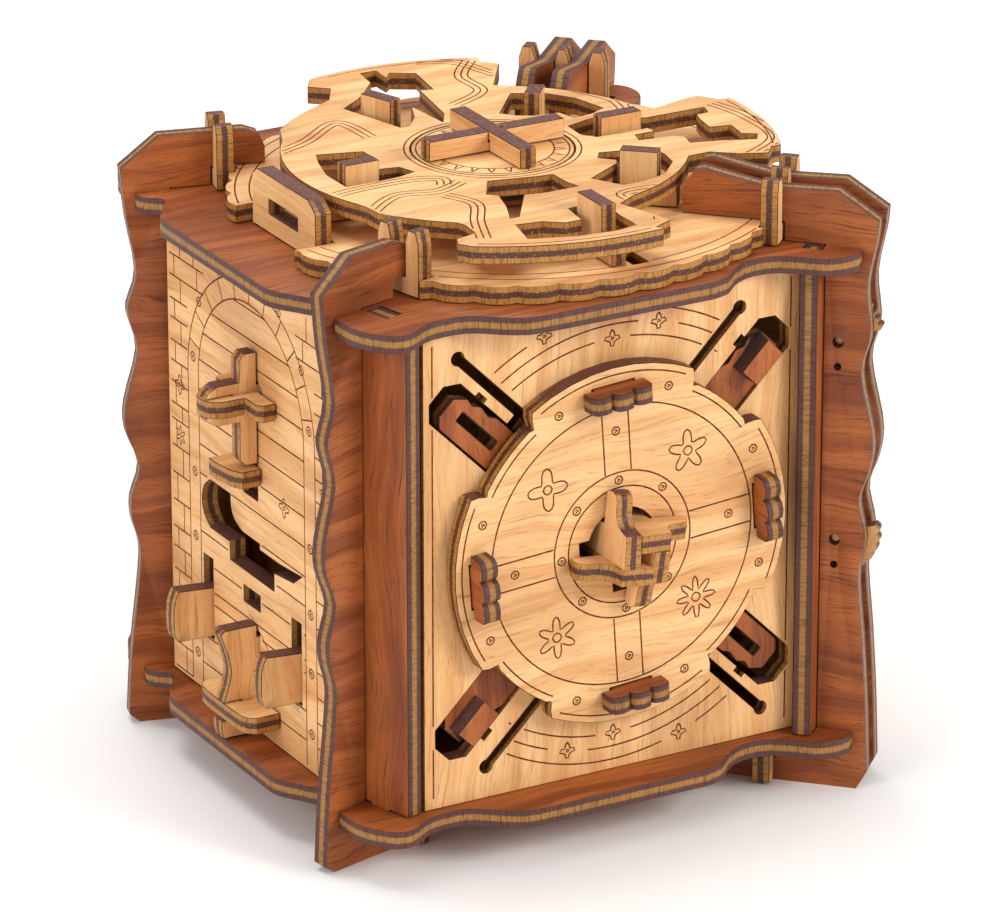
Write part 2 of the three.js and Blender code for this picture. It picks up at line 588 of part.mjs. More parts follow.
// Pull at the foot of the door: a wavy upright crossed by a wing.
const PULL_WING = 21;
const pullEdge = smooth([[9, 14.6], [9.6, 17], [9.2, 22], [7.6, 27], [7, 31], [8.2, 36], [9.6, 39.6]], 18);
const pullUpright = [[LOOSE, 14.6], ...pullEdge, [8.4, 40.4], [LOOSE, 40.4], [LOOSE, 37.6], [-14, 37.6],
  [-14, 26], [LOOSE, 26]];
const pullLap = rectangle(4.6, 20, PULL_WING - LAP, PULL_WING + LAP);
piece(box, 'pull_upright', carve(standing(pullUpright, [], OUT, UP),
  [standing(pullLap, [], OUT, UP, PLY + 2)]), birch, LEFT, DOOR.pullY, 0);
const pullWing = [[LOOSE, -12.4], ...smooth([[6, -12.4], [8.4, -9.6], [8.8, 0], [8.4, 9.6], [6, 12.4]], 12),
  [LOOSE, 12.4]];
piece(box, 'pull_wing', carve(standing(pullWing, [], OUT, ALONG),
  [standing(rectangle(-1, 4.9, -LAP, LAP), [], OUT, ALONG, PLY + 2)]), birch, LEFT, DOOR.pullY, PULL_WING);

// ---- maze wheel -------------------------------------------------------------------------------------------
// Three broad lobes on a smaller round body. The lobes leave the fins' hooks free between them.
const BODY_RADIUS = 43.4;

function wheelArc(from, to, radius, steps) {
  return Array.from({ length: steps + 1 }, (_, k) => [radius, from + ((to - from) * k) / steps]);
}

function wheelOutline() {
  const points = [
    ...wheelArc(-27, 4, WHEEL_RADIUS, 9), [61.2, 4.4], [58.7, 9], [55.3, 9.4], [45.4, 8],
    ...wheelArc(12, 56, BODY_RADIUS, 11), [43.7, 60.5], [59.1, 59.4], [60.6, 63.4],
    ...wheelArc(64, 99, WHEEL_RADIUS, 10), [63.2, 102], [59.5, 105.6], [55.1, 102.6], [49.5, 109],
    ...wheelArc(115, 136, 49, 5), ...wheelArc(144, 205, 46.9, 14), ...wheelArc(211, 232, 49.2, 5),
    [50.4, 234], [55.2, 237], [59.4, 233.4], [62.4, 234], ...wheelArc(237, 276, WHEEL_RADIUS, 11), [62, 275],
    [60.4, 280], [50.9, 279], [45.6, 278], ...wheelArc(286, 324, BODY_RADIUS, 9),
    [47.8, 328], [54.4, 327], [60.8, 328], [61.6, 332],
  ];
  return points.map(([radius, degrees]) => polar(radius, degrees));
}

// The slots of the maze, in the wheel's own directions.
const MAZE = [
  [[-40.2, -7], [-32, -7], [-27, -6.6], [-22.6, -5.4], [-24, -1], [-29, 0], [-26, 7], [-26, 12], [-36, 15],
    [-38, 10], [-40.2, 2]],
  [[-12, 26], [-11, 22], [-9, 22], [-5, 27], [-2, 34], [-1, 21], [2, 26], [5, 43], [8, 42], [10, 54], [5, 57],
    [3, 55], [3, 60], [-1, 60], [-2, 53], [-7, 47], [-10, 44], [-16, 40]],
  [[13, 20], [15.5, 17], [19, 15], [25, 14], [26, 9], [31, 10], [35, 12], [33, 21], [29, 27], [22, 31]],
  [[21.6, -1.5], [24, -4.6], [36.8, -4.8], [37, -7.4], [32, -7.4], [31, -11], [39, -12], [41, -14], [40, -18],
    [47, -20], [54, -23], [56, -20], [53, -18], [54, -12], [49, -11], [50, -5], [51, -2], [54, -2], [55, 1.5],
    [40, 1.5], [29, 7], [22, 5]],
  [[9, -28], [13, -35], [18, -35], [24.5, -33], [30, -27], [31, -22], [31, -20], [23, -15], [19, -14],
    [17, -17], [20, -20], [19, -22]],
  [[-22, -55], [-12, -58.5], [-3, -59.5], [2.4, -58.5], [2.4, -51], [3.6, -44], [2.6, -41.5], [-5, -42.5],
    [-6, -50], [-10, -50], [-14, -47], [-20, -46]],
  [[-19, -42], [-17, -42], [-9, -30], [-4, -31], [4, -31], [3, -27], [3, -21.5], [-1, -21], [-11.5, -18.5],
    [-16, -26], [-14, -28], [-16, -35]],
];
const wheelGroup = new THREE.Group();
wheelGroup.position.set(LID_X, LID_Y, WHEEL);
box.add(wheelGroup);
const hubHole = circle(0, 0, HUB_RADIUS + GAP, 48);
piece(wheelGroup, 'maze_wheel', lying(wheelOutline(), [hubHole, ...MAZE]), birch);

// Pins stand on feet in the gap under the wheel and reach up through its slots.
const PIN_TOP = 7.9;
const PIN_LOW = DISC_TOP + GAP - WHEEL;
const PIN_FOOT = 4.4;
const PINS = [
  { name: 'left', x: -35, y: -2.7, turn: 0, length: 8.5 },
  { name: 'back', x: -9.9, y: 33.7, turn: -70, length: 9 },
  { name: 'back_right', x: 22.4, y: 21.1, turn: 50, length: 7 },
  { name: 'right', x: 30.7, y: -1.7, turn: 0, length: 10.4 },
  { name: 'front_right', x: 22.5, y: -25.8, turn: -41, length: 8.6 },
  { name: 'front', x: -1.7, y: -48.7, turn: 90, length: 10.8 },
];
for (const pin of PINS) {
  const half = pin.length / 2;
  const foot = half + PIN_FOOT;
  const shape = [[-foot, PIN_LOW], [foot, PIN_LOW], [foot, -LOOSE], [half, -LOOSE], [half, PIN_TOP],
    [-half, PIN_TOP], [-half, -LOOSE], [-foot, -LOOSE]];
  const board = standing(shape, [], [1, 0, 0], UP, PLY - 0.4);
  const mesh = piece(wheelGroup, `pin_${pin.name}`, board, birch, pin.x, pin.y, 0);
  mesh.rotation.z = THREE.MathUtils.degToRad(pin.turn);
}

// Hub disc with its axle, and the cross handle of two halved boards that stand on it.
const AXLE_RADIUS = 4.5;
const AXLE_LONG = 26;
const axle = rod(AXLE_RADIUS, AXLE_LONG).rotateX(Math.PI / 2).translate(0, 0, 1 - AXLE_LONG / 2);
const hubDisc = join(lying(circle(0, 0, HUB_RADIUS, 48)), [axle]);
const hub = new THREE.Group();
hub.position.set(LID_X, LID_Y, WHEEL);
box.add(hub);
piece(hub, 'hub_disc', hubDisc, birch);
const CROSS_LOW = PLY + GAP;
const CROSS_HIGH = PLY + 4.8;
const crossX = carve(standing(rectangle(-17, 17, CROSS_LOW, CROSS_HIGH), [], [1, 0, 0], UP),
  [block(-LAP, LAP, -5, 5, CROSS_LOW + 2.1, CROSS_HIGH + 1)]);
piece(hub, 'cross_board_across', crossX, birch);
const crossY = carve(standing(rectangle(-16, 16, CROSS_LOW, CROSS_HIGH), [], ALONG, UP),
  [block(-5, 5, -LAP, LAP, CROSS_LOW - 1, CROSS_LOW + 2.4)]);
piece(hub, 'cross_board_along', crossY, birch);

// Washer that carries the wheel on the lid disc.
const washer = lying(circle(0, 0, 15), [circle(0, 0, AXLE_RADIUS + LOOSE)]);
piece(box, 'wheel_washer', washer, birch, LID_X, LID_Y, DISC_TOP + GAP);

// ---- fans -------------------------------------------------------------------------------------------------
// Scalloped quarter fans between the twin fins at the front right, each turning on its own pin.
const FAN_THICK = PLY - 0.8;

function fanOutline(from, to) {
  const points = [[0, 0]];
  const lobes = 5;
  for (let k = 0; k <= lobes * 4; k += 1) {
    const a = THREE.MathUtils.degToRad(from + ((to - from) * k) / (lobes * 4));
    const r = FAN_RADIUS - 0.7 * (1 - Math.abs(Math.sin((Math.PI * k) / 4)));
    points.push([r * Math.cos(a), r * Math.sin(a)]);
  }
  return points;
}

const fanCorner = new THREE.Group();
fanCorner.position.set(DIAGONAL, -DIAGONAL, 0);
fanCorner.rotation.z = -Math.PI / 4;
box.add(fanCorner);
for (const [k, [name, from, to]] of [['upper', 14, 66], ['lower', -58, 18]].entries()) {
  const hubRound = facingFront(circle(0, 0, 2.9), [], FAN_THICK);
  const fan = join(facingFront(fanOutline(from, to), [], FAN_THICK), [hubRound, rod(FAN_PIN, 2.2 * PLY, 16)]);
  piece(fanCorner, `fan_${name}`, fan, birch, FAN_PIVOT, 0, FAN_HEIGHTS[k]);
}

// ---- drawer ------------------------------------------------------------------------------------------------
const TRAY_HALF = DRAWER.half - LOOSE;
const TRAY_FRONT = REAR - DRAWER.length;
const TRAY_LOW = DRAWER.low + LOOSE;
const trayBlock = block(-TRAY_HALF, TRAY_HALF, TRAY_FRONT, REAR, TRAY_LOW, DRAWER.high - LOOSE);
const hollowHalf = TRAY_HALF - DRAWER.wall;
const trayHollow = block(-hollowHalf, hollowHalf, TRAY_FRONT + DRAWER.wall, REAR - DRAWER.wall,
  TRAY_LOW + DRAWER.wall, DRAWER.high + 1);
piece(box, 'drawer_tray', carve(trayBlock, [trayHollow]), birch);

// Its front covers the mouth, and has a half-round pull along its middle.
const front = rectangle(-DRAWER.half - 4, DRAWER.half + 4, DRAWER.low - 3, DRAWER.high + 4);
const pullRib = lying([[-14, 0], [14, 0], [12.4, 4], [7.6, 7.4], [0, 8.6], [-7.6, 7.4], [-12.4, 4]]);
pullRib.translate(0, PLY / 2 - 0.5, (DRAWER.low + DRAWER.high - PLY) / 2);
piece(box, 'drawer_front', join(facingFront(front), [pullRib]), birch, 0, REAR + GAP + PLY / 2, 0);

// The origin is the middle of the footprint.
const extent = new THREE.Box3().setFromObject(box, true);
box.position.set(-(extent.min.x + extent.max.x) / 2, -(extent.min.y + extent.max.y) / 2, 0);

export default box;
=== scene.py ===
"""Looks of a wooden puzzle box: laser-cut ply with burnt edges, engraved faces, a dial and a maze wheel."""
import json
import math

import bmesh
import bpy
import numpy as np
from mathutils import Matrix, Vector


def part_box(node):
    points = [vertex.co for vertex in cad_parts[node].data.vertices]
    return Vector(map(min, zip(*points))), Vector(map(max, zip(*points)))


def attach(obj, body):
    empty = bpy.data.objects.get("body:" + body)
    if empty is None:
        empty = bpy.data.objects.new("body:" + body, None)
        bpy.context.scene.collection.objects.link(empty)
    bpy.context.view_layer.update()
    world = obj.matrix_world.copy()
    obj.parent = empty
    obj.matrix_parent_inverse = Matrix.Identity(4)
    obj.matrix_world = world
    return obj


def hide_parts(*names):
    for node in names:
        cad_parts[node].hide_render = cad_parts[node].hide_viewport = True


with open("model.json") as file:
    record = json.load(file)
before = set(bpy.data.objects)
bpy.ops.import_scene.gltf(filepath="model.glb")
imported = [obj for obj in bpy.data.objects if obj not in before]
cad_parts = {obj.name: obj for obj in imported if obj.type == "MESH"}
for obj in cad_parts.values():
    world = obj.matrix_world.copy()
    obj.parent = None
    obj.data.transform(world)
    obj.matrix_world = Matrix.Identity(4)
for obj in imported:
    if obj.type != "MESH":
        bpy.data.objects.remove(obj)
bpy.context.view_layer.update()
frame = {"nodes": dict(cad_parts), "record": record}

# ---- studio -----------------------------------------------------------------------------------
# A pale floor that runs into a pale room, one large lamp to the right of the front, a weaker one on
# the door's side and a broad one above.
scene = bpy.context.scene
scene.view_settings.view_transform = "Standard"
scene.world = bpy.data.worlds.new("room")
scene.world.use_nodes = True
scene.world.node_tree.nodes["Background"].inputs["Color"].default_value = (1.0, 1.0, 1.0, 1)
scene.world.node_tree.nodes["Background"].inputs["Strength"].default_value = 0.62


def aim(obj, place, target):
    """Puts obj at place and turns its -Z axis towards target."""
    obj.location = place
    obj.rotation_euler = (Vector(target) - Vector(place)).to_track_quat("-Z", "Y").to_euler()


camera = bpy.data.objects.new("camera", bpy.data.cameras.new("camera"))
scene.collection.objects.link(camera)
camera.data.lens = 245.3
camera.data.sensor_width = 36
camera.data.clip_end = 20
EYE = Vector((-0.6872, -1.2380, 0.6325))
aim(camera, EYE, EYE + Vector((0.4533, 0.8111, -0.3697)))
scene.camera = camera

middle = Vector((0, 0, 0.07))
for name, place, size, power, tint in (
    ("key_lamp", (0.75, -1.10, 0.80), 0.55, 13.5, (1.0, 0.97, 0.92)),
    ("door_lamp", (-1.2, -0.35, 0.55), 0.7, 6.5, (1.0, 0.98, 0.95)),
    ("top_lamp", (-0.1, 0.35, 1.3), 0.8, 10, (1.0, 1.0, 1.0)),
):
    lamp = bpy.data.lights.new(name, "AREA")
    lamp.size = size
    lamp.energy = power
    lamp.color = tint
    holder = bpy.data.objects.new(name, lamp)
    scene.collection.objects.link(holder)
    aim(holder, place, middle)

floor_mesh = bpy.data.meshes.new("floor")
FLOOR_HALF = 6
floor_corners = [(x * FLOOR_HALF, y * FLOOR_HALF, 0) for x, y in ((-1, -1), (1, -1), (1, 1), (-1, 1))]
floor_mesh.from_pydata(floor_corners, [], [(0, 1, 2, 3)])
floor = bpy.data.objects.new("floor", floor_mesh)
scene.collection.objects.link(floor)
paper = bpy.data.materials.new("floor_paper")
paper.use_nodes = True
paper.node_tree.nodes["Principled BSDF"].inputs["Base Color"].default_value = (0.88, 0.88, 0.88, 1)
paper.node_tree.nodes["Principled BSDF"].inputs["Roughness"].default_value = 0.9
floor_mesh.materials.append(paper)


# ---- ply ------------------------------------------------------------------------------------------
# Every board is cut by laser from 4 mm ply of three layers. Its faces show straight grain, its cut edges show
# the layers, browned by the beam, and a thin scorched line runs along every corner. Birch cut edges that face
# up are painted a plain darker brown: painted shade.
class Nodes:
    """A material's node tree, with short ways to add and join its nodes."""

    def __init__(self, name):
        self.material = bpy.data.materials.new(name)
        self.material.use_nodes = True
        self.tree = self.material.node_tree
        self.shader = self.tree.nodes["Principled BSDF"]

    def put(self, socket, value):
        """Links a socket to another node's output, or sets it to a plain value."""
        if isinstance(value, bpy.types.NodeSocket):
            self.tree.links.new(value, socket)
        else:
            socket.default_value = value

    def add(self, kind, *values, out=0, **settings):
        """A new node with its first inputs filled in, given by one of its outputs."""
        node = self.tree.nodes.new(kind)
        for key, value in settings.items():
            setattr(node, key, value)
        for socket, value in zip(node.inputs, values):
            self.put(socket, value)
        return node.outputs[out]

    def math(self, operation, *values):
        return self.add("ShaderNodeMath", *values, operation=operation)

    def dot(self, vector, direction):
        node = self.tree.nodes.new("ShaderNodeVectorMath")
        node.operation = "DOT_PRODUCT"
        self.put(node.inputs[0], vector)
        self.put(node.inputs[1], tuple(direction))
        return node.outputs["Value"]

    def vector(self, x, y, z):
        return self.add("ShaderNodeCombineXYZ", x, y, z)

    def smooth(self, value, low, high):
        """0 up to low and 1 from high on, with a soft step between."""
        node = self.tree.nodes.new("ShaderNodeMapRange")
        node.interpolation_type = "SMOOTHSTEP"
        self.put(node.inputs["Value"], value)
        node.inputs["From Min"].default_value = low
        node.inputs["From Max"].default_value = high
        return node.outputs["Result"]

    def noise(self, vector, scale, detail=2.0, rough=0.5):
        """Cloudy values about 0.5, with `scale` clouds to a unit of the vector."""
        node = self.tree.nodes.new("ShaderNodeTexNoise")
        self.put(node.inputs["Vector"], vector)
        node.inputs["Scale"].default_value = scale
        node.inputs["Detail"].default_value = detail
        node.inputs["Roughness"].default_value = rough
        return node.outputs["Fac"]

    def streaks(self, along, side, layer, rates, detail, rough=0.5):
        """Noise drawn out along the grain: `rates` are its clouds to a millimetre, along and across."""
        across = self.math("MULTIPLY", side, rates[1])
        place = self.vector(self.math("MULTIPLY", along, rates[0]), across, layer)
        return self.noise(place, 1.0, detail, rough)

    def mix(self, share, first, second):
        """The first colour at share 0, the second at share 1."""
        node = self.tree.nodes.new("ShaderNodeMix")
        node.data_type = "RGBA"
        self.put(node.inputs["Factor"], share)
        for socket, value in ((node.inputs[6], first), (node.inputs[7], second)):
            self.put(socket, value if isinstance(value, bpy.types.NodeSocket) else (*value, 1))
        return node.outputs[2]


def linear(red, green, blue):
    """A colour given in 8-bit sRGB, as the shader's linear values."""
    share = np.array([red, green, blue]) / 255
    return tuple(np.where(share <= 0.04045, share / 12.92, ((share + 0.055) / 1.055) ** 2.4).tolist())


MM = 0.001
PLY = 4 * MM
# `top` is the colour of cut edges that face up: painted shade, darker for birch and the same as `outer` for
# mahogany.
FINISH = {
    "birch_ply": dict(
        pale=linear(236, 188, 132), face=linear(216, 160, 102), streak=linear(150, 94, 48), contrast=1.0,
        outer=linear(176, 122, 56), core=linear(84, 48, 38), top=linear(98, 58, 52), char=linear(66, 34, 14)),
    "mahogany_ply": dict(
        pale=linear(168, 92, 42), face=linear(132, 64, 26), streak=linear(72, 29, 9), contrast=1.5,
        outer=linear(84, 52, 48), core=linear(160, 112, 52), top=linear(84, 52, 48), char=linear(48, 24, 16)),
}


def ply_material(name, finish, normal, level, grain, seed):
    """Ply whose sheet lies across `normal` at `level`, with its face grain along `grain`.

    The distance from the sheet's middle tells the layers on the cut edges, and the angle between the
    surface and `normal` tells faces from edges and from the scorched corners between them.
    """
    look = FINISH[finish]
    n = Nodes(name)
    across = np.cross(normal, grain)
    place = n.add("ShaderNodeTexCoord", out=3)
    facing = n.math("ABSOLUTE", n.dot(n.add("ShaderNodeTexCoord", out=1), normal))
    depth = n.math("MULTIPLY", n.math("SUBTRACT", n.dot(place, normal), level), 1000.0)
    along = n.math("MULTIPLY", n.dot(place, grain), 1000.0)
    side = n.math("MULTIPLY", n.dot(place, across), 1000.0)

    # Face grain: long soft bands, fine fibres and short pores, all drifting a little along the board.
    drift = n.streaks(along, side, seed, (0.02, 0.05), 2.0)
    wavy = n.math("ADD", side, n.math("MULTIPLY", drift, 14.0))
    layer = n.math("ADD", n.math("MULTIPLY", depth, 0.15), seed)
    bands = n.streaks(along, wavy, layer, (0.010, 0.23), 2.5)
    fibres = n.streaks(along, wavy, layer, (0.07, 1.7), 3.0, 0.6)
    pores = n.streaks(along, wavy, layer, (0.30, 4.6), 1.0)
    flecks = n.smooth(pores, 0.60, 0.74)
    cloud = n.streaks(along, side, seed + 7.0, (0.035, 0.045), 2.0)
    face = n.mix(n.smooth(bands, 0.36, 0.66), look["pale"], look["face"])
    for share, strength in ((n.smooth(fibres, 0.50, 0.78), 0.55), (flecks, 0.42)):
        face = n.mix(n.math("MULTIPLY", share, strength * look["contrast"]), face, look["streak"])
    face = n.mix(n.math("MULTIPLY", n.smooth(cloud, 0.42, 0.72), 0.30), face, look["streak"])

    # Cut edges: outer layers and core, streaked by the beam, with a speckle of resin and char.
    beam = n.noise(n.vector(n.math("MULTIPLY", along, 2.6), n.math("MULTIPLY", side, 2.6),
                            n.math("MULTIPLY", depth, 0.35)), 1.0, 2.0)
    speck = n.noise(n.vector(n.math("MULTIPLY", along, 3.2), n.math("MULTIPLY", side, 3.2),
                             n.math("MULTIPLY", depth, 2.4)), 1.0, 2.0)
    height = n.math("ADD", n.math("ABSOLUTE", depth), n.math("MULTIPLY", n.math("SUBTRACT", speck, 0.5), 0.5))
    # Painted shade: cut edges that face up blend to the darker `top` colour, which hides the birch layers
    # there.
    painted_top_shade = n.smooth(n.dot(n.add("ShaderNodeTexCoord", out=1), (0, 0, 1)), 0.75, 0.95)
    outer = n.mix(painted_top_shade, look["outer"], look["top"])
    core = look["core"] if finish == "mahogany_ply" else n.mix(painted_top_shade, look["core"], look["top"])
    edge = n.mix(n.smooth(height, 0.50, 0.86), core, outer)
    edge = n.mix(n.math("MULTIPLY", n.smooth(beam, 0.42, 0.70), 0.55), edge, look["char"])
    edge = n.mix(n.math("MULTIPLY", n.smooth(speck, 0.58, 0.74), 0.35), edge, look["pale"])

    surface = n.mix(n.smooth(facing, 0.2, 0.45), edge, look["char"])
    surface = n.mix(n.smooth(facing, 0.80, 0.95), surface, face)
    n.put(n.shader.inputs["Base Color"], surface)
    shine = n.math("ADD", n.math("MULTIPLY", fibres, 0.25), 0.42)
    n.put(n.shader.inputs["Roughness"], shine)
    n.shader.inputs["Specular IOR Level"].default_value = 0.35
    relief = n.math("ADD", n.math("MULTIPLY", fibres, 0.5), n.math("MULTIPLY", speck, 0.5))
    bump = n.tree.nodes.new("ShaderNodeBump")
    bump.inputs["Strength"].default_value = 0.35
    bump.inputs["Distance"].default_value = 0.12 * MM
    n.put(bump.inputs["Height"], relief)
    n.put(n.shader.inputs["Normal"], bump.outputs["Normal"])
    return n.material


# ---- boards ---------------------------------------------------------------------------------------
# Each board keeps its cut shape and gets the small worn bevel that sanding leaves on its corners.
# Its sheet's direction is the one that most of its area faces.
BEVEL = 0.16 * MM
CORNER = math.radians(35)

UP = (0.0, 0.0, 1.0)
RIGHTWARD = (1.0, 0.0, 0.0)
BACKWARD = (0.0, 1.0, 0.0)
GRAIN = {
    "wall_dial": UP, "dial_disc": RIGHTWARD, "wall_door": BACKWARD, "wall_right": BACKWARD, "wall_rear": UP,
    "trim_base": RIGHTWARD, "trim_top": RIGHTWARD, "base_board": RIGHTWARD,
    "lid_disc": RIGHTWARD, "maze_wheel": RIGHTWARD, "hub_disc": RIGHTWARD, "wheel_washer": RIGHTWARD,
    "drawer_front": RIGHTWARD, "drawer_tray": BACKWARD, "dial_retainer": RIGHTWARD,
    "slotted_upright": BACKWARD, "cross_board_across": RIGHTWARD, "cross_board_along": BACKWARD,
    "handle_wing": RIGHTWARD, "latch_shelf": RIGHTWARD, "pull_wing": RIGHTWARD,
    "post_front_left": UP, "post_rear_left": UP, "post_front_right": UP, "post_rear_right": UP,
}
ACROSS_GRAIN = ("fin_", "grip_")
body_of = {node: body for body, nodes in frame["record"]["behaviour"]["bodies"].items() for node in nodes}
slot_of = {entry["node"]: entry["material_slot"] for entry in frame["record"]["subparts"]}


def sheet_of(mesh):
    """The unit direction that most of a mesh's area faces, and the level of the sheet's middle along it.

    Faces are counted together when their normals agree, whichever way they point. The level is halfway
    between the two levels that hold most of the area facing the winning direction.
    """
    count = len(mesh.polygons)
    normals = np.empty(count * 3, dtype=np.float32)
    areas = np.empty(count, dtype=np.float32)
    centres = np.empty(count * 3, dtype=np.float32)
    mesh.polygons.foreach_get("normal", normals)
    mesh.polygons.foreach_get("area", areas)
    mesh.polygons.foreach_get("center", centres)
    normals = normals.reshape(-1, 3).astype(float)
    centres = centres.reshape(-1, 3).astype(float)
    turned = normals * np.sign(normals @ (1.0, 0.013, 0.00017))[:, None]
    group = np.unique(np.round(turned, 2), axis=0, return_inverse=True)[1].ravel()
    best = np.argmax(np.bincount(group, areas))
    normal = turned[group == best].mean(axis=0)
    normal = normal / np.linalg.norm(normal)
    flat = np.abs(normals @ normal) > 0.99
    levels, place = np.unique(np.round((centres[flat] @ normal) / (0.05 * MM)), return_inverse=True)
    weight = np.bincount(place.ravel(), areas[flat])
    first, second = levels[np.argsort(weight)[-2:]] * 0.05 * MM
    return normal, (first + second) / 2


def bevelled(name, source):
    """A copy of a mesh with its triangles joined into flat faces and its corners bevelled."""
    work = bmesh.new()
    work.from_mesh(source)
    bmesh.ops.remove_doubles(work, verts=work.verts, dist=0.001 * MM)
    bmesh.ops.dissolve_limit(work, angle_limit=math.radians(0.3), verts=work.verts, edges=work.edges)
    bmesh.ops.triangulate(work, faces=[face for face in work.faces if len(face.verts) > 4])
    sharp = [edge for edge in work.edges if edge.is_manifold and edge.calc_face_angle(0) > CORNER]
    bmesh.ops.bevel(work, geom=sharp, offset=BEVEL, segments=1, profile=0.5, affect="EDGES",
                    clamp_overlap=True)
    mesh = bpy.data.meshes.new(name)
    work.to_mesh(mesh)
    work.free()
    mesh.shade_smooth()
    mesh.set_sharp_from_angle(angle=math.radians(25))
    return mesh


def place_piece(name, mesh, body):
    """A mesh as a piece that moves with a body."""
    piece = bpy.data.objects.new(name, mesh)
    scene.collection.objects.link(piece)
    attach(piece, body)
    return piece


def grain_of(node, normal):
    """The board's grain, made to lie in its sheet."""
    wanted = GRAIN.get(node)
    if wanted is None:
        level = np.cross(normal, UP)
        wanted = level if node.startswith(ACROSS_GRAIN) else UP
        if abs(normal[2]) > 0.9:
            wanted = RIGHTWARD
    grain = np.array(wanted) - normal * np.dot(wanted, normal)
    return grain / np.linalg.norm(grain)


def finished(name, source, body, slot, grain, seed):
    """A bevelled board on its body, in its slot's ply, with the grain that `grain` gives for its sheet."""
    normal, level = sheet_of(source)
    mesh = bevelled(name, source)
    mesh.materials.clear()
    mesh.materials.append(ply_material(f"{name}_ply", slot, normal, float(level), grain(normal), seed))
    return place_piece(name, mesh, body)


BUILT_UP = ("knob", "drawer_tray")
for index, (node, cad) in enumerate(sorted(frame["nodes"].items())):
    if node not in BUILT_UP:
        board = finished(f"{node}_board", cad.data, body_of[node], slot_of[node],
                         lambda normal: grain_of(node, normal), 3.7 * index)
        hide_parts(node)


# ---- knob -----------------------------------------------------------------------------------------
# Four birch boards glued pinwheel fashion round a square hole, each with a curved vane in front of the
# dial. Their feet pass through the dial and its sleeve, so that the knob turns on its own.
def slab(name, outline, thick):
    """A mesh of an outline carried straight through `thick`, from its points at 0 to the same points at 1.

    Point k of the outline is vertex k in front and vertex k + n behind, and each side is one quad.
    """
    outline = np.asarray(outline, dtype=float)
    count = len(outline)
    points = np.concatenate([np.column_stack([outline, np.full(count, level)]) for level in (0.0, thick)])
    order = np.arange(count)
    following = np.roll(order, -1)
    sides = np.column_stack([order, following, following + count, order + count]).tolist()
    mesh = bpy.data.meshes.new(name)
    mesh.from_pydata(points.tolist(), [], [order[::-1].tolist(), (order + count).tolist(), *sides])
    return mesh


def rounded(points, steps=5):
    """Points on the curve that passes through the given ones, by the Catmull-Rom formula for each span."""
    points = np.asarray(points, dtype=float)
    before, start = np.vstack([points[:1], points[:-2]]), points[:-1]
    end, after = points[1:], np.vstack([points[2:], points[-1:]])
    t = np.linspace(0, 1, steps, endpoint=False)[None, :, None]
    start, end, before, after = (row[:, None, :] for row in (start, end, before, after))
    spans = 0.5 * (2 * start + (end - before) * t + (2 * before - 5 * start + 4 * end - after) * t ** 2
                   + (3 * start - before - 3 * end + after) * t ** 3)
    return np.vstack([spans.reshape(-1, points.shape[1]), points[-1:]])


KNOB_LEAN = 6                    # degrees that the knob rests off the upright
KNOB_HALF_HOLE = 1.7
KNOB_SIDE = KNOB_HALF_HOLE + PLY / MM
KNOB_OUT = 11                    # the knob's front stands this far out of the dial
KNOB_IN = -12                    # and its boards reach this far in
vane_nose = rounded([[13.2, 0.8], [13.6, 3.2], [12.4, 4.9], [8.8, 5.4], [6.6, 7.2], [KNOB_SIDE, 10.4]])
vane_foot = [[-KNOB_HALF_HOLE, KNOB_IN], [KNOB_SIDE, KNOB_IN], [KNOB_SIDE, 0.8]]
vane = [*vane_foot, *vane_nose, [-KNOB_HALF_HOLE, KNOB_OUT]]
knob_low, knob_high = (np.array(corner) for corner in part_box("knob"))
knob_axis = (knob_low + knob_high) / 2
knob_axis[1] = knob_low[1] + KNOB_OUT * MM
stand = Matrix(((1, 0, 0, 0), (0, -1, 0, 0), (0, 0, 1, KNOB_HALF_HOLE), (0, 0, 0, 1)))
for k in range(4):
    vane_mesh = slab(f"knob_vane_{k + 1}_sheet", vane, PLY / MM)
    turn = Matrix.Rotation(math.radians(90 * k + KNOB_LEAN), 4, "Y")
    vane_mesh.transform(Matrix.Translation(knob_axis) @ Matrix.Scale(MM, 4) @ turn @ stand)
    vane_mesh.flip_normals()
    vane_piece = finished(f"knob_vane_{k + 1}", vane_mesh, "knob", "birch_ply",
                          lambda normal: np.cross(normal, BACKWARD), 5.3 * k)
    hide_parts("knob")


# ---- drawer tray ------------------------------------------------------------------------------------
# The tray behind the drawer's front is of thin birch ply: a bottom board with four walls glued round
# it and to one another, each butted to the next, and open above.
TRAY_WALL = 3 * MM


def box_mesh(name, low, high):
    """A closed block between two corners, with its faces pointing out."""
    (x0, y0, z0), (x1, y1, z1) = low, high
    mesh = slab(name, [(x0, y0), (x1, y0), (x1, y1), (x0, y1)], z1 - z0)
    mesh.transform(Matrix.Translation((0, 0, z0)))
    return mesh


(tray_x0, tray_y0, tray_z0), (tray_x1, tray_y1, tray_z1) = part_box("drawer_tray")
floor_top = tray_z0 + TRAY_WALL
inner_x0, inner_x1 = tray_x0 + TRAY_WALL, tray_x1 - TRAY_WALL
tray_boards = {
    "tray_bottom": ((tray_x0, tray_y0, tray_z0), (tray_x1, tray_y1, floor_top)),
    "tray_left": ((tray_x0, tray_y0, floor_top), (inner_x0, tray_y1, tray_z1)),
    "tray_right": ((inner_x1, tray_y0, floor_top), (tray_x1, tray_y1, tray_z1)),
    "tray_inner": ((inner_x0, tray_y0, floor_top), (inner_x1, tray_y0 + TRAY_WALL, tray_z1)),
    "tray_outer": ((inner_x0, tray_y1 - TRAY_WALL, floor_top), (inner_x1, tray_y1, tray_z1)),
}
for index, (name, (low, high)) in enumerate(tray_boards.items()):
    side = finished(name, box_mesh(f"{name}_sheet", low, high), "drawer", "birch_ply",
                    lambda normal: grain_of("tray_wall", normal), 2.9 * index)
    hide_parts("drawer_tray")


